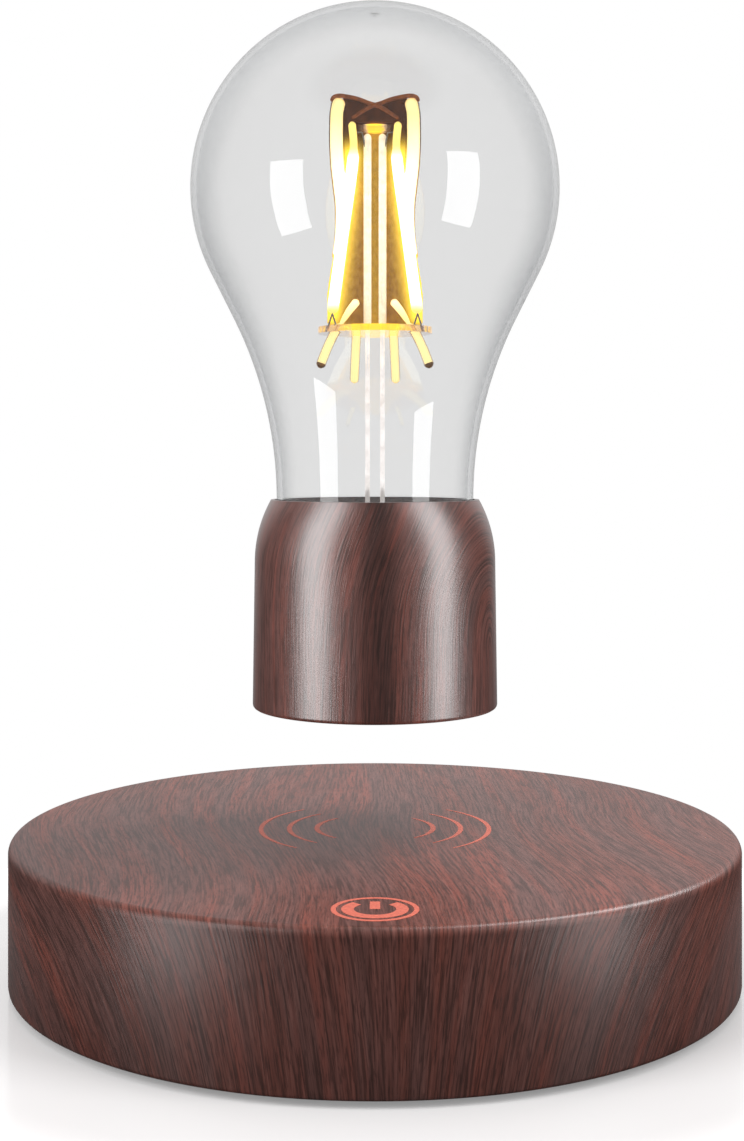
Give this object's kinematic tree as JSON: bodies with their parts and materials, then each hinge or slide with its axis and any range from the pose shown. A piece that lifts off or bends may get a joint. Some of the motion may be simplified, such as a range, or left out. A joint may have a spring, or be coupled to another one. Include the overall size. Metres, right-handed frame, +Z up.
{
  "type": "levitating lamp",
  "caption": "Round dark wood-look base with a clear pear-shaped light bulb floating above its middle; the bulb lifts and spins freely over the base.",
  "frame": {"origin": "on the floor under the middle of the base, on the axis that base and bulb share", "axes": "+Z up along the bulb's axis; -Y towards the touch mark on the front of the base top; +Y towards the power inlet at the rear"},
  "size_m": [0.125, 0.125, 0.1681],
  "materials": {
    "wood_grain_base": "satin wood-grain film, dark reddish brown",
    "wood_grain_socket": "satin wood-grain film, dark reddish brown",
    "black_plastic": "matte",
    "white_plastic": "matte",
    "clear_plastic": "clear, polished",
    "amber_plastic": "translucent amber, polished",
    "filament": "glowing white coating",
    "clear_glass": "clear, polished",
    "foot_rubber": "matte",
    "steel": "satin",
    "lead_rod": "polished",
    "copper": "enamelled copper wire",
    "brass": "polished",
    "magnet": "nickel-plated",
    "ferrite": "matte sintered ferrite",
    "capacitor_can": "satin",
    "circuit_board": "solder mask"
  },
  "bodies": {
    "base": {"base_shell": "wood_grain_base", "base_bottom_cover": "black_plastic", "rubber_foot_1": "foot_rubber", "rubber_foot_2": "foot_rubber", "rubber_foot_3": "foot_rubber", "rubber_foot_4": "foot_rubber", "cover_screw_1": "steel", "cover_screw_2": "steel", "cover_screw_3": "steel", "cover_screw_4": "steel", "control_pcb": "circuit_board", "microcontroller": "black_plastic", "power_inductor": "ferrite", "capacitor_1": "capacitor_can", "capacitor_2": "capacitor_can", "ring_magnet": "ferrite", "yoke_plate": "steel", "coil_bobbin_1": "white_plastic", "coil_bobbin_2": "white_plastic", "coil_bobbin_3": "white_plastic", "coil_bobbin_4": "white_plastic", "coil_winding_1": "copper", "coil_winding_2": "copper", "coil_winding_3": "copper", "coil_winding_4": "copper", "coil_core_1": "steel", "coil_core_2": "steel", "coil_core_3": "steel", "coil_core_4": "steel", "sensor_post": "white_plastic", "sensor_pcb": "circuit_board", "hall_sensor_1": "black_plastic", "hall_sensor_2": "black_plastic", "hall_sensor_3": "black_plastic", "transmitter_coil": "copper", "touch_pad": "copper", "touch_spring": "steel", "dc_jack": "black_plastic", "dc_jack_pin": "brass"},
    "lift_magnet": {"float_magnet": "magnet"},
    "bulb": {"bulb_socket": "wood_grain_socket", "socket_base_plate": "black_plastic", "magnet_holder": "white_plastic", "receiver_coil": "copper", "rectifier_pcb": "circuit_board", "rectifier_chip": "black_plastic", "smoothing_capacitor": "capacitor_can", "neck_plug": "white_plastic", "glass_envelope": "clear_glass", "stem_rod_left": "lead_rod", "stem_rod_right": "lead_rod", "lower_disc": "clear_plastic", "upper_disc": "clear_plastic", "light_guide": "amber_plastic", "filament_1": "filament", "filament_2": "filament", "filament_3": "filament", "filament_4": "filament"}
  },
  "joints": [
    {"name": "bulb_lift", "type": "slide", "parent": "base", "child": "lift_magnet", "axis": [0, 0, 1], "range_m": [-0.0209, 0.08], "stiffness_N_per_m": 80, "springref_m": 0.0137},
    {"name": "bulb_spin", "type": "hinge", "parent": "lift_magnet", "child": "bulb", "pos_m": [0, 0, 0.0462], "axis": [0, 0, 1], "continuous": true}
  ]
}
